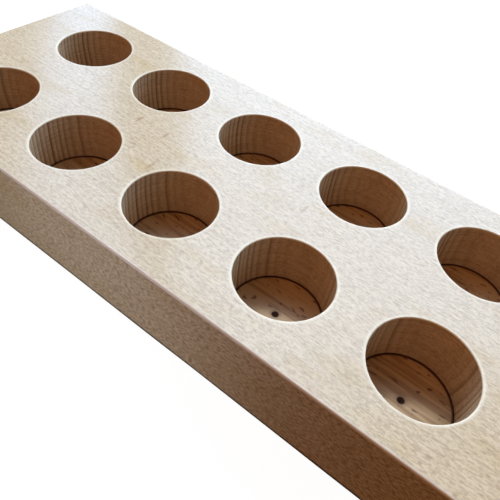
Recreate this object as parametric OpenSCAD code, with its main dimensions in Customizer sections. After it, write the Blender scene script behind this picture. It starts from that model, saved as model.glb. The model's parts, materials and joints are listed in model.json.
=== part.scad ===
// Egg tray. Two beech staves are glued edge to edge, located by three dowels. Each stave has one row of
// flat-bottomed round pockets. Four rubber feet sit in shallow recesses under the corners, each held by
// one pan-head screw.
//
// Millimetres. The origin is the centre of the footprint, on the surface that the tray stands on.
// +X runs along the tray, +Y from the front stave to the back stave, and +Z is up.

/* [Tray] */
// Pockets in each stave
columns = 6; // [4:2:8]
// Distance between pocket centres along a stave
pocket_pitch = 58; // [54:0.5:66]
// Distance between the two rows of pocket centres
row_pitch = 62.5; // [56:0.5:68]
// Distance from the last pocket's centre to the end face
end_margin = 45.5; // [42:0.5:60]
// Width of one stave, half the width of the tray
stave_w = 65.5; // [62:0.5:75]
// Thickness of the wood
stave_h = 40; // [36:0.5:50]
// Radius of the sanded outer edges
edge_r = 1; // [0.5:0.1:2]

/* [Pockets] */
// Diameter of a pocket
pocket_d = 40; // [36:0.5:44]
// Depth of a pocket, from the top face to its floor
pocket_depth = 25; // [18:0.5:26]
// Size of the arris taken off a pocket's rim
rim_chamfer = 0.5; // [0.2:0.1:1]
// Width of the ring that the cutter's rim scores around the floor
groove_w = 1; // [0.5:0.1:2]
// Depth of that ring below the floor
groove_depth = 0.5; // [0.2:0.1:1]
// Diameter of the dimple that the cutter's centre point leaves
dimple_d = 3; // [2:0.1:5]
// Depth of the dimple below the floor
dimple_depth = 1.5; // [0.5:0.1:3]

/* [Dowels] */
// Diameter of a dowel
dowel_d = 8; // [6:0.5:10]
// Length of a dowel, half of it in each stave
dowel_length = 36; // [20:1:40]
// Chamfer on a dowel's ends
dowel_chamfer = 1; // [0.5:0.1:1.5]
// Glue flutes around a dowel
dowel_flutes = 10; // [6:1:12]

/* [Feet] */
// Diameter of a rubber foot
foot_d = 16; // [14:0.5:18]
// Height of a rubber foot
foot_h = 4; // [3.5:0.1:5]
// How far a foot stands out below the wood
foot_proud = 1; // [0.5:0.1:2]
// Distance from the tray's end to a foot's axis
foot_inset_x = 20; // [18:0.5:22]
// Distance from the tray's side to a foot's axis
foot_inset_y = 18; // [16:0.5:18]
// Length of a foot's screw under its head
screw_length = 12; // [8:1:14]
// Diameter over the screw's thread
screw_d = 3; // [2.5:0.1:3.5]

/* [Hidden] */

$fn = 96;
over = 1;             // how far a cutter runs past the face it opens

front = -1;
back = 1;
left = -1;
right = 1;

// the wood
tray_l = (columns - 1) * pocket_pitch + 2 * end_margin;
tray_w = 2 * stave_w;
wood_z = foot_proud;
top_z = wood_z + stave_h;
floor_z = top_z - pocket_depth;
groove_lean = 0.3;    // where the ring's point lies: 0 is at the wall, 1 at the ring's inner edge

// the dowels lie half way up, in gaps between pockets
dowel_z = wood_z + stave_h / 2;
dowel_pitch = pocket_pitch * (columns / 2 - 1);
dowel_hole_l = dowel_length + 2;
flute_d = 1;

// the feet and their screws
foot_x = tray_l / 2 - foot_inset_x;
foot_y = tray_w / 2 - foot_inset_y;
foot_gap = 0.1;       // around a foot in its recess
foot_chamfer = 0.5;
foot_shelf = 2;       // rubber between the screw's head and the wood
head_d = 5.6;
head_h = 1.6;
head_round = 0.6;
head_hole_d = 7.6;
shank_gap = 0.1;      // around the shank in the foot
thread_gap = 0.05;    // around the thread in the wood
thread_pitch = 1.25;
thread_depth = 0.4;
tip_l = 2.5;
cross_w = 0.8;
cross_l = 3;
cross_depth = 1;

// A rectangle with its corner at the origin and all four corners rounded
module rounded_rectangle(size, r) {
    translate([r, 0]) square([size.x - 2 * r, size.y]);
    translate([0, r]) square([size.x, size.y - 2 * r]);
    for (x = [r, size.x - r], y = [r, size.y - r])
        translate([x, y]) circle(r);
}

// The whole tray as one block with rounded edges, before it is divided and bored
module blank() {
    translate([-tray_l / 2, -tray_w / 2, wood_z])
        intersection() {
            linear_extrude(stave_h) rounded_rectangle([tray_l, tray_w], edge_r);
            translate([0, tray_w, 0]) rotate([90, 0, 0])
                linear_extrude(tray_w) rounded_rectangle([tray_l, stave_h], edge_r);
            rotate([90, 0, 90])
                linear_extrude(tray_l) rounded_rectangle([tray_w, stave_h], edge_r);
        }
}

// What one pocket's cutter takes out: the bore, the V-shaped scored ring, the dimple and the rim's arris
module pocket_cut() {
    r = pocket_d / 2;
    translate([0, 0, floor_z]) cylinder(h = pocket_depth + over, r = r);
    rotate_extrude() polygon([
        [r - groove_w, floor_z], [r - groove_w * groove_lean, floor_z - groove_depth], [r, floor_z],
        [r, floor_z + over], [r - groove_w, floor_z + over]
    ]);
    translate([0, 0, floor_z - dimple_depth])
        cylinder(h = dimple_depth + over, d1 = 0, d2 = dimple_d * (1 + over / dimple_depth));
    translate([0, 0, top_z - rim_chamfer])
        cylinder(h = rim_chamfer + over, r1 = r, r2 = r + rim_chamfer + over);
}

// The recess for one foot and the pilot hole for its screw
module foot_cut() {
    translate([0, 0, wood_z - over]) cylinder(h = foot_h - foot_proud + over, d = foot_d + 2 * foot_gap);
    translate([0, 0, foot_h - over])
        cylinder(h = screw_length - foot_shelf + 2 * over, d = screw_d + 2 * thread_gap);
}

// One stave, on the front or the back side of the glue line
module stave(side) {
    color("burlywood") difference() {
        intersection() {
            blank();
            translate([-tray_l / 2 - over, side == front ? -tray_w / 2 - over : 0, 0])
                cube([tray_l + 2 * over, tray_w / 2 + over, top_z + over]);
        }
        for (i = [0 : columns - 1])
            translate([(i - (columns - 1) / 2) * pocket_pitch, side * row_pitch / 2, 0]) pocket_cut();
        for (i = [-1 : 1])
            translate([i * dowel_pitch, dowel_hole_l / 2, dowel_z])
                rotate([90, 0, 0]) cylinder(h = dowel_hole_l, d = dowel_d);
        for (end = [left, right])
            translate([end * foot_x, side * foot_y, 0]) foot_cut();
    }
}

// A fluted dowel through the glue line, at place -1, 0 or 1 along the tray
module dowel(place) {
    r = dowel_d / 2;
    color("tan") translate([place * dowel_pitch, dowel_length / 2, dowel_z]) rotate([90, 0, 0])
        difference() {
            rotate_extrude() polygon([
                [0, 0], [r - dowel_chamfer, 0], [r, dowel_chamfer],
                [r, dowel_length - dowel_chamfer], [r - dowel_chamfer, dowel_length], [0, dowel_length]
            ]);
            for (i = [0 : dowel_flutes - 1])
                rotate(i * 360 / dowel_flutes) translate([r + flute_d / 4, 0, -over])
                    cylinder(h = dowel_length + 2 * over, d = flute_d);
        }
}

// A rubber foot: a thick washer with a deep counterbore that hides the screw's head
module foot(end, side) {
    r = foot_d / 2;
    color("dimgray") translate([end * foot_x, side * foot_y, 0])
        difference() {
            rotate_extrude() polygon([
                [0, 0], [r - foot_chamfer, 0], [r, foot_chamfer], [r, foot_h], [0, foot_h]
            ]);
            translate([0, 0, -over]) cylinder(h = foot_h - foot_shelf + over, d = head_hole_d);
            cylinder(h = foot_h + over, d = screw_d + 2 * shank_gap);
        }
}

// A foot's screw, driven upwards: a pan head with a cross recess, a plain neck, a thread and a point.
// The thread is a stack of sharp-crested rings.
module foot_screw(end, side) {
    head_z = foot_h - foot_shelf;
    r = screw_d / 2;
    neck_l = foot_shelf;
    rings = floor((screw_length - neck_l - tip_l) / thread_pitch);
    thread_z = head_z + neck_l;
    tip_z = thread_z + rings * thread_pitch;
    color("silver") translate([end * foot_x, side * foot_y, 0])
        difference() {
            union() {
                rotate_extrude() {
                    translate([0, head_z - head_h]) square([head_d / 2 - head_round, head_h]);
                    translate([0, head_z - head_h + head_round]) square([head_d / 2, head_h - head_round]);
                    translate([head_d / 2 - head_round, head_z - head_h + head_round]) circle(head_round);
                }
                translate([0, 0, head_z - head_h / 2]) cylinder(h = neck_l + head_h / 2, r = r);
                translate([0, 0, thread_z - over / 2])
                    cylinder(h = tip_z - thread_z + over / 2, r = r - thread_depth);
                for (i = [0 : rings - 1])
                    translate([0, 0, thread_z + i * thread_pitch]) {
                        cylinder(h = thread_pitch / 2, r1 = r - thread_depth, r2 = r);
                        translate([0, 0, thread_pitch / 2])
                            cylinder(h = thread_pitch / 2, r1 = r, r2 = r - thread_depth);
                    }
                translate([0, 0, tip_z])
                    cylinder(h = head_z + screw_length - tip_z, r1 = r - thread_depth, r2 = 0);
            }
            for (turn = [0, 90])
                rotate(turn) translate([-cross_l / 2, -cross_w / 2, head_z - head_h - over])
                    cube([cross_l, cross_w, cross_depth + over]);
        }
}

stave(front);  // front_stave
stave(back);  // back_stave
dowel(-1);  // dowel_left
dowel(0);  // dowel_middle
dowel(1);  // dowel_right
foot(left, front);  // foot_front_left
foot(right, front);  // foot_front_right
foot(left, back);  // foot_back_left
foot(right, back);  // foot_back_right
foot_screw(left, front);  // screw_front_left
foot_screw(right, front);  // screw_front_right
foot_screw(left, back);  // screw_back_left
foot_screw(right, back);  // screw_back_right
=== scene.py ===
"""Looks for the egg tray: detailed meshes, solid beech and other materials, window light and camera.

Everything is in metres in the row's frame: +X along the tray, +Y from the front stave to the back one,
+Z up, with the origin at the centre of the footprint. Names ending in _mm are millimetres.
"""

import json
import math

import bmesh
import bpy
from mathutils import Matrix, Vector, noise


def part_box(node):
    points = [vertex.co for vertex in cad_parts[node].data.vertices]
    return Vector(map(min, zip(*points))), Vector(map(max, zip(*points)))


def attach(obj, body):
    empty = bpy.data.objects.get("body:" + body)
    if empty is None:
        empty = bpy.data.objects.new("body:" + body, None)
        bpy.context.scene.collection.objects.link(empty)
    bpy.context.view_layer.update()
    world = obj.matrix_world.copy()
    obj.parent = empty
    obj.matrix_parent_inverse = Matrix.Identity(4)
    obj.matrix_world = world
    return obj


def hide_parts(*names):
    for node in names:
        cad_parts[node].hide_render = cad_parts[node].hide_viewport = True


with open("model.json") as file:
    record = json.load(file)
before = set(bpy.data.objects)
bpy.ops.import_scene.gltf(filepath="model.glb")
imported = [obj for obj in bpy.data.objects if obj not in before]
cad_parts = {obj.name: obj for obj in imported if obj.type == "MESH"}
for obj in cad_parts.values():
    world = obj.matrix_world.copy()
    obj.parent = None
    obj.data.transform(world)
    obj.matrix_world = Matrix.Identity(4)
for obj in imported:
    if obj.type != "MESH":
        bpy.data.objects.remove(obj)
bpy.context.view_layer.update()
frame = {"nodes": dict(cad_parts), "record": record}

MM = 0.001
FRONT, BACK = -1, 1
SIDES = {"front": FRONT, "back": BACK}
ENDS = ("left", "right")
DOWEL_PLACES = ("left", "middle", "right")

# Sizes that the frame gives
pockets = [m for m in frame["record"]["mounts"] if m["kind"] == "bore"]
pocket_r = pockets[0]["dims"]["r_mm"] * MM
wood_low, wood_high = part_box("front_stave")
top_z, base_z = wood_high.z, wood_low.z
stave_w = wood_high.y - wood_low.y
tray_l = wood_high.x - wood_low.x
rim_arris = top_z - pockets[0]["pos_m"][2]
floor_z = pockets[0]["pos_m"][2] - pockets[0]["dims"]["length_mm"] * MM
pocket_pitch = pockets[1]["pos_m"][0] - pockets[0]["pos_m"][0]
row_y = abs(pockets[0]["pos_m"][1])

# Sizes of the small features, as in the CAD model
EDGE_R = 1.0 * MM
GROOVE_W = 1.0 * MM
GROOVE_APEX = 0.3 * MM
GROOVE_DEPTH = 0.5 * MM
DIMPLE_R = 1.5 * MM
DIMPLE_DEPTH = 1.5 * MM
DOWEL_R = 4.0 * MM
DOWEL_HOLE_DEPTH = 19.0 * MM
FOOT_GAP = 0.1 * MM
HEAD_HOLE_R = 3.8 * MM
FOOT_SHELF = 2.0 * MM
SHANK_HOLE_R = 1.6 * MM
PILOT_R = 1.55 * MM
PILOT_TOP = 15.0 * MM
HEAD_H = 1.6 * MM
SHANK_R = 1.5 * MM
THREAD_DEPTH = 0.4 * MM
THREAD_PITCH = 1.25 * MM
SCREW_NECK = 2.0 * MM
SCREW_TIP = 2.5 * MM

# How far sanding by hand strays from an even round, as parts of the round's own size
EDGE_UNEVEN = 0.3
RIM_UNEVEN = 0.25
# The length over which it strays: along an edge, and round a rim of radius 1
EDGE_WAVE = 30 * MM
RIM_WAVE = 0.8
# Places in the noise that keep the lower and upper edges, and two pockets, apart
LOW_EDGE, HIGH_EDGE = 0, 9
POCKET_GAP = 3.7

OVER = 1.0 * MM  # how far a cutter reaches past the face it starts from
ROUND_STEPS = 6  # steps in a quarter round

# Segments round each turned shape
POCKET_SEGMENTS = 96
DOWEL_HOLE_SEGMENTS = 48
RECESS_SEGMENTS = 64
FOOT_SEGMENTS = 72
SCREW_SEGMENTS = 32


# ---------------------------------------------------------------- meshes


def mesh_object(name, bm):
    """A new object from a bmesh, with its normals facing outwards."""
    bmesh.ops.remove_doubles(bm, verts=bm.verts, dist=1e-7)
    bmesh.ops.recalc_face_normals(bm, faces=bm.faces)
    mesh = bpy.data.meshes.new(name)
    bm.to_mesh(mesh)
    bm.free()
    obj = bpy.data.objects.new(name, mesh)
    bpy.context.scene.collection.objects.link(obj)
    return obj


def lathe(bm, profile, centre, segments, turn=None):
    """Adds a closed turned solid. profile(angle) lists (radius, height) from one end to the other."""
    turn = turn or Matrix.Identity(3)
    rows = []
    for i in range(segments):
        angle = 2 * math.pi * i / segments
        rows.append([
            bm.verts.new(turn @ Vector((r * math.cos(angle), r * math.sin(angle), h)) + Vector(centre))
            for r, h in profile(angle)
        ])
    for row, following in zip(rows, rows[1:] + rows[:1]):
        for a, b, c, d in zip(row, following, following[1:], row[1:]):
            bm.faces.new((a, b, c, d))


def arc(centre, radius, start, stop, steps):
    """Points on an arc, as (across, along) pairs; angles in degrees."""
    angles = [math.radians(start + (stop - start) * i / steps) for i in range(steps + 1)]
    return [(centre[0] + radius * math.cos(a), centre[1] + radius * math.sin(a)) for a in angles]


def wander(position, spread):
    """A smooth number in about -1 to 1 that changes over a length of spread metres."""
    return noise.noise(Vector(position) / spread)


def blank_stave(side):
    """One stave before it is bored: square on the glue line, with every other edge rounded by hand."""
    spacing = 5 * MM
    even_end = 10 * MM
    half = tray_l / 2
    stations = []
    for i in range(ROUND_STEPS + 1):
        angle = math.radians(90 * i / ROUND_STEPS)
        stations.append((-half + EDGE_R * (1 - math.cos(angle)), EDGE_R * math.sin(angle)))
    inner = round((tray_l - 2 * EDGE_R) / spacing)
    for i in range(1, inner):
        stations.append((-half + EDGE_R + i * (tray_l - 2 * EDGE_R) / inner, EDGE_R))
    stations += [(-x, r) for x, r in reversed(stations[:ROUND_STEPS + 1])]

    bm = bmesh.new()
    rows = []
    for x, r in stations:
        # the round is even at the corners, and wanders away from them
        loose = min(1, (half - abs(x)) / even_end) if r == EDGE_R else 0
        low_r = EDGE_R * (1 + EDGE_UNEVEN * loose * wander((x, side, LOW_EDGE), EDGE_WAVE))
        high_r = EDGE_R * (1 + EDGE_UNEVEN * loose * wander((x, side, HIGH_EDGE), EDGE_WAVE))
        inset = EDGE_R - r
        loop = [(0, base_z + inset)]
        loop += arc((stave_w - low_r, base_z + low_r), low_r - inset, -90, 0, ROUND_STEPS)
        loop += arc((stave_w - high_r, top_z - high_r), high_r - inset, 0, 90, ROUND_STEPS)
        loop += [(0, top_z - inset)]
        rows.append([bm.verts.new((x, side * across, z)) for across, z in loop])
    for row, following in zip(rows, rows[1:]):
        for i in range(len(row)):
            j = (i + 1) % len(row)
            bm.faces.new((row[i], following[i], following[j], row[j]))
    bmesh.ops.remove_doubles(bm, verts=bm.verts, dist=1e-7)
    for end in (-half, half):
        rim = [e for e in bm.edges if e.is_boundary and abs(e.verts[0].co.x - end) < 1e-6]
        bmesh.ops.contextual_create(bm, geom=rim)
    return mesh_object("blank", bm)


def pocket_profile(seed):
    """The cutter that makes one pocket. Its rim arris is a little uneven, as sandpaper leaves it."""

    def profile(angle):
        at = (math.cos(angle), math.sin(angle), seed * POCKET_GAP)
        arris = rim_arris * (1 + RIM_UNEVEN * wander(at, RIM_WAVE))
        bottom = floor_z - GROOVE_DEPTH
        return (
            [(0, top_z + 2 * OVER), (pocket_r + arris, top_z + 2 * OVER)]
            + arc((pocket_r + arris, top_z - arris), arris, 88, 180, 5)
            + [
                (pocket_r, floor_z),
                (pocket_r - GROOVE_APEX, bottom),
                (pocket_r - GROOVE_W, floor_z),
                (DIMPLE_R, floor_z),
                (0.2 * DIMPLE_R, floor_z - DIMPLE_DEPTH),
                (0, floor_z - DIMPLE_DEPTH),
            ]
        )

    return profile


def plug(radius, low, high):
    """The profile of a plain cylinder."""
    return lambda angle: [(0, low), (radius, low), (radius, high), (0, high)]


def recess_profile(radius, ceiling):
    """A foot's recess with the pilot hole for its screw above it."""
    return lambda angle: [
        (0, base_z - OVER), (radius, base_z - OVER), (radius, ceiling), (PILOT_R, ceiling),
        (PILOT_R, PILOT_TOP), (0, PILOT_TOP + PILOT_R)
    ]


def cut(obj, cutter):
    """Subtracts one mesh from another and throws the cutter away."""
    modifier = obj.modifiers.new("cut", "BOOLEAN")
    modifier.operation = "DIFFERENCE"
    modifier.solver = "EXACT"
    modifier.object = cutter
    bpy.context.view_layer.update()
    evaluated = obj.evaluated_get(bpy.context.evaluated_depsgraph_get())
    result = bpy.data.meshes.new_from_object(evaluated)
    obj.modifiers.clear()
    old = obj.data
    obj.data = result
    bpy.data.meshes.remove(old)
    bpy.data.objects.remove(cutter)


def smooth(obj, angle=35):
    """Smooth shading up to an angle, with flat faces kept flat beside their rounded edges."""
    obj.data.shade_smooth()
    obj.data.set_sharp_from_angle(angle=math.radians(angle))
    modifier = obj.modifiers.new("normals", "WEIGHTED_NORMAL")
    modifier.keep_sharp = True
    modifier.weight = 100


def stave(name, side):
    """A stave with its pockets, dowel holes, foot recesses and pilot holes."""
    obj = blank_stave(side)
    cutters = bmesh.new()
    for i, pocket in enumerate(pockets):
        x, y, _ = pocket["pos_m"]
        if y * side > 0:
            lathe(cutters, pocket_profile(i), (x, y, 0), POCKET_SEGMENTS)
    sideways = Matrix.Rotation(-side * math.pi / 2, 3, "X")
    for place in DOWEL_PLACES:
        low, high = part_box(f"dowel_{place}")
        centre = (low + high) / 2
        hole = plug(DOWEL_R, -OVER, DOWEL_HOLE_DEPTH)
        lathe(cutters, hole, (centre.x, 0, centre.z), DOWEL_HOLE_SEGMENTS, sideways)
    for end in ENDS:
        low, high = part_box(f"foot_{'front' if side == FRONT else 'back'}_{end}")
        centre = ((low.x + high.x) / 2, (low.y + high.y) / 2, 0)
        recess = recess_profile((high.x - low.x) / 2 + FOOT_GAP, high.z)
        lathe(cutters, recess, centre, RECESS_SEGMENTS)
    cut(obj, mesh_object("cutters", cutters))
    obj.name = obj.data.name = name
    smooth(obj)
    return obj


def foot(name, node):
    """A moulded rubber foot: rounded edges, two grip rings and a counterbore for the screw's head."""
    low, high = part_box(node)
    r, top = (high.x - low.x) / 2, high.z
    fillet = 0.5 * MM
    small = 0.3 * MM
    ring_r = 0.18 * MM
    grip_rings = (6.6 * MM, 5.2 * MM)
    profile = [(SHANK_HOLE_R, top - FOOT_SHELF), (SHANK_HOLE_R, top), (r - small, top)]
    profile += arc((r - small, top - small), small, 90, 0, 3)
    profile += arc((r - fillet, fillet), fillet, 0, -90, ROUND_STEPS)
    for ring in grip_rings:
        profile += [(ring + ring_r, 0), (ring + 0.5 * ring_r, ring_r)]
        profile += [(ring - 0.5 * ring_r, ring_r), (ring - ring_r, 0)]
    profile += arc((HEAD_HOLE_R + small, small), small, -90, -180, 4)
    profile += [(HEAD_HOLE_R, top - FOOT_SHELF), (SHANK_HOLE_R, top - FOOT_SHELF)]
    bm = bmesh.new()
    centre = ((low.x + high.x) / 2, (low.y + high.y) / 2, 0)
    lathe(bm, lambda angle: profile, centre, FOOT_SEGMENTS)
    obj = mesh_object(name, bm)
    smooth(obj, 30)
    return obj


def screw(name, node):
    """A pan-head screw pointing up, with a cross recess and a thread that fades at both ends."""
    low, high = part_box(node)
    head_r = (high.x - low.x) / 2
    crown = 0.6 * MM
    seat = low.z + HEAD_H
    start = seat + SCREW_NECK
    core_r = SHANK_R - THREAD_DEPTH
    ring_step = 0.1 * MM

    def threaded(angle):
        points = [(0, low.z), (0.7 * head_r, low.z)]
        points += arc((head_r - crown, low.z + crown), crown, -60, 0, 4)
        points += [(head_r, seat), (SHANK_R, seat), (SHANK_R, start)]
        for i in range(1, int((high.z - start) / ring_step)):
            height = start + i * ring_step
            # crest is 1 on a ridge and 0 between two, where the thread's valley is flat
            turns = (height - start) / THREAD_PITCH - angle / (2 * math.pi)
            crest = 1 - abs(2 * (turns % 1) - 1)
            core = min(core_r, (high.z - height) * core_r / SCREW_TIP)
            fade = min(1, (height - start) / THREAD_PITCH, max(0, (high.z - height) / SCREW_TIP))
            points.append((core + THREAD_DEPTH * fade * max(0, 1.6 * crest - 0.6), height))
        return points + [(0, high.z)]

    centre = ((low.x + high.x) / 2, (low.y + high.y) / 2, 0)
    bm = bmesh.new()
    lathe(bm, threaded, centre, SCREW_SEGMENTS)
    obj = mesh_object(name, bm)
    slot_size = Matrix.Diagonal((3 * MM, 0.8 * MM, 2 * MM, 1))
    slot_place = Matrix.Translation(Vector(centre) + Vector((0, 0, low.z)))
    for turn in (0, math.pi / 2):
        slot = bmesh.new()
        matrix = slot_place @ Matrix.Rotation(turn, 4, "Z") @ slot_size
        bmesh.ops.create_cube(slot, size=1, matrix=matrix)
        cut(obj, mesh_object("slot", slot))
    smooth(obj, 40)
    return obj


# ---------------------------------------------------------------- material graphs


class Num:
    """A value in a material's graph. Arithmetic on it adds Math nodes."""

    def __init__(self, graph, socket):
        self.graph, self.socket = graph, socket

    def __add__(self, other):
        return self.graph.math("ADD", self, other)

    def __sub__(self, other):
        return self.graph.math("SUBTRACT", self, other)

    def __rsub__(self, other):
        return self.graph.math("SUBTRACT", other, self)

    def __mul__(self, other):
        return self.graph.math("MULTIPLY", self, other)

    def __truediv__(self, other):
        return self.graph.math("DIVIDE", self, other)


class Graph:
    """One material's node graph, with a Principled shader at its end."""

    def __init__(self, name):
        self.material = bpy.data.materials.new(name)
        self.material.use_nodes = True
        self.tree = self.material.node_tree
        self.tree.nodes.clear()
        self.shader = self.tree.nodes.new("ShaderNodeBsdfPrincipled")
        output = self.tree.nodes.new("ShaderNodeOutputMaterial")
        self.tree.links.new(self.shader.outputs["BSDF"], output.inputs["Surface"])

    def add(self, kind, **settings):
        node = self.tree.nodes.new(kind)
        for key, value in settings.items():
            setattr(node, key, value)
        return node

    def feed(self, socket, value):
        if isinstance(value, Num):
            self.tree.links.new(value.socket, socket)
        else:
            socket.default_value = value

    def math(self, operation, *values):
        node = self.add("ShaderNodeMath", operation=operation)
        for socket, value in zip(node.inputs, values):
            self.feed(socket, value)
        return Num(self, node.outputs[0])

    def place_mm(self):
        """The point's place in the row's frame, in millimetres."""
        here = self.add("ShaderNodeTexCoord").outputs["Object"]
        return self.scaled(Num(self, here), (1000, 1000, 1000))

    def scaled(self, vector, factors):
        node = self.add("ShaderNodeVectorMath", operation="MULTIPLY")
        self.feed(node.inputs[0], vector)
        node.inputs[1].default_value = factors
        return Num(self, node.outputs[0])

    def split(self, vector):
        node = self.add("ShaderNodeSeparateXYZ")
        self.feed(node.inputs[0], vector)
        return [Num(self, s) for s in node.outputs]

    def join(self, *parts):
        node = self.add("ShaderNodeCombineXYZ")
        for socket, value in zip(node.inputs, parts):
            self.feed(socket, value)
        return Num(self, node.outputs[0])

    def normal(self):
        """The surface's own direction, as three numbers."""
        return self.split(Num(self, self.add("ShaderNodeTexCoord").outputs["Normal"]))

    def noise(self, vector, detail=2.0, roughness=0.5, output=0):
        node = self.add("ShaderNodeTexNoise")
        self.feed(node.inputs["Vector"], vector)
        node.inputs["Scale"].default_value = 1.0
        node.inputs["Detail"].default_value = detail
        node.inputs["Roughness"].default_value = roughness
        return Num(self, node.outputs[output])

    def chance(self, value):
        """A random number in 0 to 1 for each whole number."""
        node = self.add("ShaderNodeTexWhiteNoise", noise_dimensions="1D")
        self.feed(node.inputs["W"], value)
        return Num(self, node.outputs["Value"])

    def rise(self, value, low, high):
        """0 at low, 1 at high, and smooth between them. low may be above high."""
        node = self.add("ShaderNodeMapRange", interpolation_type="SMOOTHSTEP")
        for socket, number in zip(node.inputs, (value, low, high, 0.0, 1.0)):
            self.feed(socket, number)
        return Num(self, node.outputs[0])

    def blend(self, factor, a, b):
        """Mixes two colours; a colour is a Num or a linear (r, g, b)."""
        node = self.add("ShaderNodeMix", data_type="RGBA")
        for socket, value in zip((node.inputs[0], node.inputs[6], node.inputs[7]), (factor, a, b)):
            self.feed(socket, (*value, 1.0) if isinstance(value, tuple) else value)
        return Num(self, node.outputs[2])

    def bump(self, height_mm):
        """Relief from a height in millimetres."""
        node = self.add("ShaderNodeBump")
        node.inputs["Distance"].default_value = MM
        self.feed(node.inputs["Height"], height_mm)
        return Num(self, node.outputs[0])

    def finish(self, **inputs):
        for key, value in inputs.items():
            socket = self.shader.inputs[key.replace("_", " ")]
            self.feed(socket, (*value, 1.0) if isinstance(value, tuple) else value)
        return self.material


def srgb(*levels):
    """A linear colour from 0 to 255 display levels."""
    return tuple(
        c / 255 / 12.92 if c <= 10 else ((c / 255 + 0.055) / 1.055) ** 2.4 for c in levels
    )


# ---------------------------------------------------------------- materials

# In each blend the number before the colours is its strength at the most. Each rise goes from where a
# pattern or a place, in its own units, begins to count to where it counts in full.

# Small brown marks on the top face, (x, y) in mm, and their half size along X and Y
BROWN_MARKS = ((-79.5, 1), (-62, 0), (-51.5, -20), (14.5, 4.5))
MARK_HALF_X, MARK_HALF_Y = 1.0, 4.0

# The tree that the board came from: its centre runs along X, far behind the board
PITH_Y_MM, PITH_Z_MM = 150.0, 30.0
RING_MM = 2.6
SWAY_MM = 4.0

PALE = (0.82, 0.65, 0.415)
# the walls' colour: darker than the top, partly the bored wood's own tone and partly painted shade
WALL_TONE_AND_SHADE = (0.60, 0.415, 0.255)
FLOOR_WOOD = (0.69, 0.49, 0.27)


class Timber:
    """The coordinates and patterns that every beech surface shares, cut from one solid piece."""

    def __init__(self, g):
        self.place = g.place_mm()
        self.x, self.y, self.z = g.split(self.place)
        sway = g.noise(g.scaled(self.place, (1 / 150, 1 / 50, 1 / 50)), 1.0, output=1)
        _, sway_y, sway_z = g.split(sway)
        across = self.y - PITH_Y_MM + (sway_y - 0.5) * SWAY_MM
        up = self.z - PITH_Z_MM + (sway_z - 0.5) * SWAY_MM
        rho = g.math("SQRT", across * across + up * up)
        tau = g.math("ARCTAN2", up, across) * 100.0
        # rings: slowly darker outwards from the pith, then a quick step back to pale wood
        uneven = g.noise(g.join(rho / 9.0, 0.0, 0.0), 1.0)
        count = rho / RING_MM + uneven * 1.6
        part = g.math("FRACT", count)
        ring = g.rise(part, 0.3, 0.9) * g.rise(part, 1.0, 0.93)
        self.ring = ring
        self.strong_ring = ring * (g.chance(g.math("FLOOR", count)) * 0.6 + 0.4)
        # patterns along the grain, from the shortest to the longest
        self.speckle = self.pattern(g, 0.8, 0.5, 1.0)
        self.fibre = self.pattern(g, 1.8, 0.55, 2.0, 0.6)
        self.fleck = self.pattern(g, 3.2, 1.3, 0.0)
        self.streak = self.pattern(g, 14, 1.5, 3.0)
        self.cloud = self.pattern(g, 30, 12, 2.0)
        self.line = self.pattern(g, 34, 2.1, 2.0)
        # rays: thin short ribbons, seen as dashes along the grain
        ray = g.noise(g.join(self.x / 2.4, rho / 0.9, tau / 0.4), 0.0)
        self.ray = g.rise(ray, 0.6, 0.8)

    def pattern(self, g, length_mm, width_mm, detail, roughness=0.5):
        """Noise drawn out along the grain: its size along X, and its size across."""
        stretch = (1 / length_mm, 1 / width_mm, 1 / width_mm)
        return g.noise(g.scaled(self.place, stretch), detail, roughness)


class InPocket:
    """Where a point is in its own pocket, in mm, and how far it belongs to each of its surfaces."""

    def __init__(self, g, wood, facing_up):
        pitch, r, top = pocket_pitch / MM, pocket_r / MM, top_z / MM
        row_end = len(pockets) / 4 * pitch
        in_row = g.rise(g.math("ABSOLUTE", wood.x), row_end + 4, row_end + 2)
        self.x = g.math("FLOORED_MODULO", wood.x, pitch) - pitch / 2
        self.y = g.math("ABSOLUTE", wood.y) - row_y / MM
        self.from_axis = g.math("SQRT", self.x * self.x + self.y * self.y)
        self.above_floor = wood.z - floor_z / MM
        deep = g.rise(wood.z, top - 0.1, top - 0.5) * g.rise(self.above_floor, -4.0, -3.0) * in_row
        self.inside = g.rise(self.from_axis, r + 0.15, r + 0.02) * deep
        self.floor = g.rise(facing_up, 0.5, 0.8) * self.inside
        self.wall = self.inside - self.floor
        near_top = g.rise(wood.z, top - 0.7, top - 0.5)
        # painted highlight: the pale ring painted round each pocket's rim
        self.rim = g.rise(self.from_axis, r + 1.7, r + 0.3) * near_top * in_row
        # what the cutter leaves: the groove round the floor and its point's dimple, both darkened, and
        # a halo round the dimple
        ring_gap = g.math("POWER", self.from_axis - (r - 0.3), 2.0)
        from_ring = g.math("SQRT", ring_gap + g.math("POWER", self.above_floor, 2.0))
        self.dark_groove = g.rise(from_ring, 0.7, 0.3) * self.inside
        self.halo = g.rise(self.from_axis, 3.4, 1.6) * self.floor
        dimple = g.rise(self.from_axis, 1.75, 1.35)
        self.dimple = dimple * g.rise(self.above_floor, 1.0, 0.3) * self.inside


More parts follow.
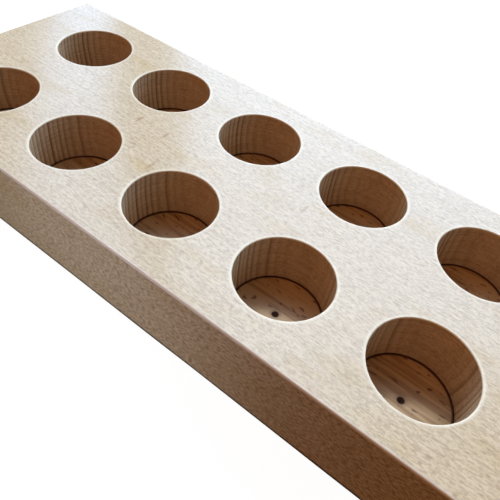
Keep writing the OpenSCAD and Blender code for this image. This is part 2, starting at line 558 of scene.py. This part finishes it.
def sanded_wood(g, wood, side_on, on_top):
    """The sanded faces, with the fibres and ray dashes strongest on the long sides."""
    colour = g.blend(wood.strong_ring * 0.25, PALE, srgb(206, 170, 124))
    colour = g.blend(g.rise(wood.streak, 0.35, 0.75) * 0.25, colour, srgb(204, 170, 124))
    colour = g.blend(g.rise(wood.cloud, 0.52, 0.75) * 0.45, colour, srgb(216, 182, 122))
    colour = g.blend(g.rise(wood.speckle, 0.4, 0.7) * 0.15, colour, srgb(186, 154, 118))
    fibre = g.rise(wood.fibre, 0.44, 0.58) * (side_on * 0.4 + 0.32)
    colour = g.blend(fibre, colour, srgb(164, 128, 92))
    colour = g.blend(wood.ray * (side_on * 0.3 + 0.3), colour, srgb(158, 118, 84))
    for mark_x, mark_y in BROWN_MARKS:
        off_x = (wood.x - mark_x) / MARK_HALF_X
        off_y = (wood.y - mark_y) / MARK_HALF_Y
        ragged = g.math("SQRT", off_x * off_x + off_y * off_y) + (wood.speckle - 0.5) * 2.0
        colour = g.blend(g.rise(ragged, 1.0, 0.3) * on_top * 0.5, colour, srgb(168, 112, 70))
    return colour


def sawn_wood(g, wood):
    """The sawn ends, which show the rings most."""
    colour = g.blend(wood.strong_ring * 0.7, srgb(206, 172, 128), srgb(150, 108, 70))
    return g.blend(wood.ray * 0.5, colour, srgb(226, 198, 160))


def wall_wood(g, wood, end_grain, tool):
    """The bored walls: darker than the top, partly the wood's own tone and partly painted shade, and
    paler between dark growth lines where they cut across the fibres.
    """
    colour = g.blend(end_grain * 0.6, WALL_TONE_AND_SHADE, srgb(236, 206, 164))
    growth = wood.strong_ring * (end_grain * 0.85 + 0.08)
    colour = g.blend(growth, colour, srgb(92, 56, 34))
    colour = g.blend(g.rise(wood.fibre, 0.44, 0.6) * 0.35, colour, srgb(124, 82, 50))
    return g.blend(g.rise(tool, 0.45, 0.6) * 0.2, colour, srgb(116, 74, 44))


def floor_wood(g, wood):
    """The pockets' floors, with brown grain lines and flecks that run along the grain."""
    colour = g.blend(g.rise(wood.line, 0.44, 0.62) * 0.42, FLOOR_WOOD, srgb(132, 86, 48))
    return g.blend(g.rise(wood.fleck, 0.69, 0.8) * 0.7, colour, srgb(84, 44, 26))


def painted_edge_light_and_shade(g, wood, colour):
    """The board's own edges: a painted highlight along the top ones, and painted shade along the
    bottom ones.
    """
    top, base = top_z / MM, base_z / MM
    half_w, half_l = stave_w / MM, tray_l / MM / 2
    edge = g.rise(g.math("ABSOLUTE", wood.y), half_w - 1.3, half_w - 0.5)
    edge = g.math("MAXIMUM", edge, g.rise(g.math("ABSOLUTE", wood.x), half_l - 1.3, half_l - 0.5))
    # painted highlight: the top edges are painted pale
    pale = edge * g.rise(wood.z, top - 1.4, top - 0.8) * 0.85
    # painted shade: the bottom edges are painted dark
    painted_bottom_shade = edge * g.rise(wood.z, base + 2.8, base + 1.4) * 0.85
    return g.blend(painted_bottom_shade, g.blend(pale, colour, srgb(255, 240, 218)), srgb(48, 32, 22))


def beech(name):
    """Pale sanded beech, with what boring leaves in and around the pockets, a painted highlight round
    each rim and along the top edges, and painted shade along the bottom edges.
    """
    g = Graph(name)
    wood = Timber(g)
    nx, ny, nz = g.normal()
    end_grain = nx * nx
    pocket = InPocket(g, wood, nz)
    inside = pocket.inside
    sawn = g.rise(end_grain, 0.6, 0.95) * (1.0 - inside)
    tool = g.noise(g.join(wood.x / 20.0, wood.y / 20.0, wood.z / 0.7), 1.0)

    colour = sanded_wood(g, wood, ny * ny, g.rise(nz, 0.8, 0.95))
    colour = g.blend(sawn, colour, sawn_wood(g, wood))
    colour = g.blend(pocket.wall, colour, wall_wood(g, wood, end_grain, tool))
    colour = g.blend(pocket.floor, colour, floor_wood(g, wood))
    # painted highlight: a pale ring painted round each pocket's rim
    colour = g.blend(pocket.rim * 0.65, colour, srgb(255, 238, 204))
    # a dark ring along the groove round each pocket's floor
    colour = g.blend(pocket.dark_groove * 0.92, colour, srgb(62, 20, 18))
    colour = g.blend(pocket.halo * 0.35, colour, srgb(120, 78, 50))
    colour = g.blend(pocket.dimple * 0.92, colour, srgb(44, 20, 14))
    # painted highlight along the top edges, and painted shade along the bottom ones
    colour = painted_edge_light_and_shade(g, wood, colour)
    glue_line = g.rise(g.math("ABSOLUTE", wood.y), 0.16, 0.04) * (1.0 - inside)
    colour = g.blend(glue_line * 0.3, colour, srgb(150, 112, 76))

    # relief in mm: fibres, rings, the cutter's chatter on the walls and its sweep on the floors
    height = wood.fibre * (inside * 0.03 + 0.004) + wood.ring * inside * 0.02
    sweep = g.noise(g.join(pocket.from_axis / 0.5, pocket.x / 40.0, pocket.y / 40.0), 1.0)
    height = height + tool * pocket.wall * 0.03 + sweep * pocket.floor * 0.04
    rough = wood.fibre * 0.04 + 0.16 + inside * 0.35 + sawn * 0.3
    return g.finish(
        Base_Color=colour, Roughness=rough, Normal=g.bump(height), Specular_IOR_Level=0.35
    )


def dowel_beech(name):
    """Plain compressed beech for the dowels."""
    g = Graph(name)
    place = g.place_mm()
    fibre = g.noise(g.scaled(place, (1 / 0.3, 1 / 8, 1 / 0.3)), 3.0, 0.6)
    colour = g.blend(fibre, srgb(214, 184, 144), srgb(160, 118, 78))
    return g.finish(Base_Color=colour, Roughness=0.6, Normal=g.bump(fibre * 0.08))


def rubber(name):
    """Black moulded rubber, slightly dusty."""
    g = Graph(name)
    place = g.place_mm()
    grain = g.noise(g.scaled(place, (3, 3, 3)), 3.0, 0.6)
    dust = g.noise(g.scaled(place, (0.25, 0.25, 0.25)), 2.0)
    colour = g.blend(g.rise(dust, 0.45, 0.75) * 0.5, (0.012, 0.012, 0.012), (0.045, 0.043, 0.040))
    return g.finish(Base_Color=colour, Roughness=grain * 0.15 + 0.62, Normal=g.bump(grain * 0.03))


def zinc(name):
    """Zinc-plated steel with a faint blue-yellow passivated tint."""
    g = Graph(name)
    place = g.place_mm()
    tint = g.noise(g.scaled(place, (0.4, 0.4, 0.4)), 1.0)
    wear = g.noise(g.scaled(place, (4, 4, 4)), 3.0, 0.6)
    colour = g.blend(tint, (0.62, 0.64, 0.68), (0.70, 0.66, 0.56))
    return g.finish(
        Base_Color=colour, Metallic=1.0, Roughness=wear * 0.2 + 0.25, Normal=g.bump(wear * 0.01)
    )


def paper(name, glow):
    """The pale surroundings: mostly their own even light, so that shadows on them stay faint."""
    g = Graph(name)
    return g.finish(
        Base_Color=(0.12, 0.12, 0.12), Roughness=1.0, Specular_IOR_Level=0.0,
        Emission_Color=(1.0, 1.0, 1.0), Emission_Strength=glow
    )


# ---------------------------------------------------------------- build

WOOD = beech("beech")
DOWEL = dowel_beech("dowel_beech")
RUBBER = rubber("foot_rubber")
ZINC = zinc("screw_zinc")


def adopt(obj, node, material):
    """Puts a piece in a CAD node's place."""
    obj.data.materials.clear()
    obj.data.materials.append(material)
    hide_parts(node)
    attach(obj, "root")


for word, side in SIDES.items():
    adopt(stave(f"{word}_stave_wood", side), f"{word}_stave", WOOD)
    for end in ENDS:
        node = f"foot_{word}_{end}"
        adopt(foot(f"{node}_rubber", node), node, RUBBER)
        node = f"screw_{word}_{end}"
        adopt(screw(f"{node}_steel", node), node, ZINC)
for place in DOWEL_PLACES:
    dowel = frame["nodes"][f"dowel_{place}"]
    dowel.data.materials.clear()
    dowel.data.materials.append(DOWEL)


# ---------------------------------------------------------------- camera

CAMERA_AT = Vector((80.7, -148.9, 194.4)) * MM
LOOKS_AT = Vector((7.29, -20.86, 41.0)) * MM
CAMERA_ROLL = 9.787
LENS_MM = 38.08
SHIFT = (-0.0108, -0.0344)


def look_at(obj, target, roll=0):
    """Points an object's -Z axis at a target, with its top up, then rolls it, in degrees."""
    facing = (Vector(target) - obj.location).to_track_quat("-Z", "Y").to_matrix().to_4x4()
    turn = facing @ Matrix.Rotation(math.radians(roll), 4, "Z")
    obj.rotation_euler = turn.to_euler()


camera = bpy.data.objects.new("camera", bpy.data.cameras.new("camera"))
bpy.context.scene.collection.objects.link(camera)
bpy.context.scene.camera = camera
camera.location = CAMERA_AT
look_at(camera, LOOKS_AT, CAMERA_ROLL)
camera.data.lens = LENS_MM
camera.data.shift_x, camera.data.shift_y = SHIFT
camera.data.clip_start = 0.01
camera.data.clip_end = 50


# ---------------------------------------------------------------- light and surroundings

WINDOW_HEIGHT = 0.9
# a length on the top face, times this, is the length at window height that it mirrors to the camera
GLARE_K = (WINDOW_HEIGHT - top_z + CAMERA_AT.z - top_z) / (CAMERA_AT.z - top_z)


def seen_in_top(x_mm, y_mm):
    """The place at window height that the tray's top face mirrors at (x, y)."""
    on_top = Vector((x_mm, y_mm)) * MM
    eye = CAMERA_AT.xy
    return (eye + (on_top - eye) * GLARE_K).to_3d() + Vector((0, 0, WINDOW_HEIGHT))


def area_light(name, at, size, radiance, colour, target=None, turn=0):
    """A soft rectangular light, given by how bright its face is."""
    data = bpy.data.lights.new(name, "AREA")
    data.shape = "RECTANGLE"
    data.size, data.size_y = size
    data.energy = radiance * math.pi * size[0] * size[1]
    data.color = colour
    light = bpy.data.objects.new(name, data)
    bpy.context.scene.collection.objects.link(light)
    light.location = at
    if target is not None:
        look_at(light, target)
    light.rotation_euler.rotate_axis("Z", math.radians(turn))
    light.visible_camera = False
    return light


# The window as the top face mirrors it, in millimetres on the top: u runs along it and v across it
WINDOW_TURN = -44.0
WINDOW_ORIGIN = (-137, 62)
WINDOW_U = (-200, 200)
REFLECTED_U = (200, 236)  # the last stretch lights nothing, and is only mirrored
WINDOW_V = (-54, 220)
WINDOW_COLOUR = (0.44, 0.7, 1.1)
WINDOW_RADIANCE = 4.7


def window_place(u, v):
    """A place on the window, at window height."""
    turn = math.radians(WINDOW_TURN)
    x = WINDOW_ORIGIN[0] + u * math.cos(turn) - v * math.sin(turn)
    y = WINDOW_ORIGIN[1] + u * math.sin(turn) + v * math.cos(turn)
    return seen_in_top(x, y)


def middle(span):
    """Half way between a span's two ends."""
    return (span[0] + span[1]) / 2


for name, span_u in (("window", WINDOW_U), ("window_reflection", REFLECTED_U)):
    size = [(span[1] - span[0]) * MM * GLARE_K for span in (span_u, WINDOW_V)]
    at = window_place(middle(span_u), middle(WINDOW_V))
    pane = area_light(name, at, size, WINDOW_RADIANCE, WINDOW_COLOUR, turn=WINDOW_TURN)
    pane.visible_diffuse = span_u is WINDOW_U


def plane(name, corners):
    """A flat piece of the surroundings."""
    bm = bmesh.new()
    bm.faces.new([bm.verts.new(c) for c in corners])
    obj = mesh_object(name, bm)
    return obj


# Half the width of the window's dark bar at places along u
BAR_HALF_WIDTHS = ((-260, 18), (90, 18), (170, 6), (260, 3))
BAR_DROP = Vector((0, 0, -0.02))


def window_bar():
    """A dark bar across the window, just below it, seen as a duller band on the top."""
    corners = [(u, -w) for u, w in BAR_HALF_WIDTHS]
    corners += [(u, w) for u, w in reversed(BAR_HALF_WIDTHS)]
    bar = plane("window_bar", [window_place(u, v) + BAR_DROP for u, v in corners])
    black = Graph("bar_black").finish(
        Base_Color=(0.02, 0.02, 0.02), Roughness=1.0, Specular_IOR_Level=0.0
    )
    bar.data.materials.append(black)
    bar.visible_camera = False


window_bar()

ROOM_R = 3.0
WALL_LOW, WALL_HIGH = -0.5, 3.0
FLOOR_CORNERS = ((-1, -1), (1, -1), (1, 1), (-1, 1))

# only the camera sees the floor, so that it lights, mirrors and shades nothing
floor = plane("floor", [(x * ROOM_R, y * ROOM_R, 0) for x, y in FLOOR_CORNERS])
floor.data.materials.append(paper("floor_paper", 0.97))
floor.visible_diffuse = floor.visible_glossy = floor.visible_shadow = False


def backdrop():
    """A pale wall all round, which only the camera sees."""
    bm = bmesh.new()
    angles = [math.radians(a) for a in range(0, 360, 5)]
    ring = [(ROOM_R * math.cos(a), ROOM_R * math.sin(a)) for a in angles]
    for here, following in zip(ring, ring[1:] + ring[:1]):
        low = [(*here, WALL_LOW), (*following, WALL_LOW)]
        high = [(*following, WALL_HIGH), (*here, WALL_HIGH)]
        bm.faces.new([bm.verts.new(c) for c in low + high])
    wall = mesh_object("backdrop", bm)
    wall.data.materials.append(paper("wall_paper", 1.0))
    wall.visible_diffuse = wall.visible_glossy = False
    wall.visible_transmission = wall.visible_shadow = False


backdrop()


# The room's even glow, and its soft lobes of light: azimuth, elevation, half-width and colour. The
# first two are cool daylight from behind the tray, and the last three are dim, warm and in front.
ROOM_GLOW = (0.01, 0.008, 0.006)
ROOM_LOBES = (
    (108, 45, 27, (1.5, 1.9, 2.4)),
    (50, 18, 46, (1.0, 1.2, 1.5)),
    (170, 40, 45, (0.4, 0.3, 0.2)),
    (120, 5, 30, (0.6, 0.4, 0.2)),
    (190, -40, 50, (0.2, 0.22, 0.15)),
    (290, 55, 40, (0.26, 0.09, 0.022)),
    (245, 32, 45, (0.35, 0.11, 0.018)),
    (275, 3, 38, (0.2, 0.085, 0.0)),
)


def towards(azimuth, elevation):
    """A direction of length 1, from angles in degrees."""
    a, e = math.radians(azimuth), math.radians(elevation)
    return Vector((math.cos(a) * math.cos(e), math.sin(a) * math.cos(e), math.sin(e)))


def surroundings():
    """The room around the tray, which lights it from all sides."""
    world = bpy.data.worlds.new("room")
    bpy.context.scene.world = world
    world.use_nodes = True
    tree = world.node_tree
    tree.nodes.clear()
    facing = tree.nodes.new("ShaderNodeTexCoord").outputs["Generated"]
    total = tree.nodes.new("ShaderNodeCombineXYZ")
    for socket, level in zip(total.inputs, ROOM_GLOW):
        socket.default_value = level
    total = total.outputs[0]
    for azimuth, elevation, width, colour in ROOM_LOBES:
        along = tree.nodes.new("ShaderNodeVectorMath")
        along.operation = "DOT_PRODUCT"
        along.inputs[1].default_value = towards(azimuth, elevation)
        tree.links.new(facing, along.inputs[0])
        fade = tree.nodes.new("ShaderNodeMapRange")
        fade.interpolation_type = "SMOOTHSTEP"
        fade.inputs["From Min"].default_value = math.cos(math.radians(width))
        tree.links.new(along.outputs["Value"], fade.inputs["Value"])
        sum_so_far = tree.nodes.new("ShaderNodeVectorMath")
        sum_so_far.operation = "MULTIPLY_ADD"
        sum_so_far.inputs[1].default_value = colour
        tree.links.new(fade.outputs[0], sum_so_far.inputs[0])
        tree.links.new(total, sum_so_far.inputs[2])
        total = sum_so_far.outputs[0]
    background = tree.nodes.new("ShaderNodeBackground")
    output = tree.nodes.new("ShaderNodeOutputWorld")
    tree.links.new(total, background.inputs["Color"])
    tree.links.new(background.outputs[0], output.inputs["Surface"])


surroundings()


def light_from(name, azimuth, elevation, distance, size, radiance, colour):
    """An area light in a direction from the tray. It adds no highlight of its own."""
    at = towards(azimuth, elevation) * distance
    light = area_light(name, at, size, radiance, colour, target=(0, 0, top_z))
    light.visible_glossy = False


light_from(
    "window_head", azimuth=116, elevation=54, distance=2.0,
    size=(0.9, 0.22), radiance=33.0, colour=(0.82, 0.9, 1.0)
)
# a cool glow low in front of the front face
area_light(
    "table_glow", at=(-0.05, -0.13, 0.03), size=(0.14, 0.04),
    radiance=1.45, colour=(0.8, 1.02, 1.4), target=(-0.05, -0.065, 0.02)
)

bpy.context.scene.view_settings.view_transform = "Standard"
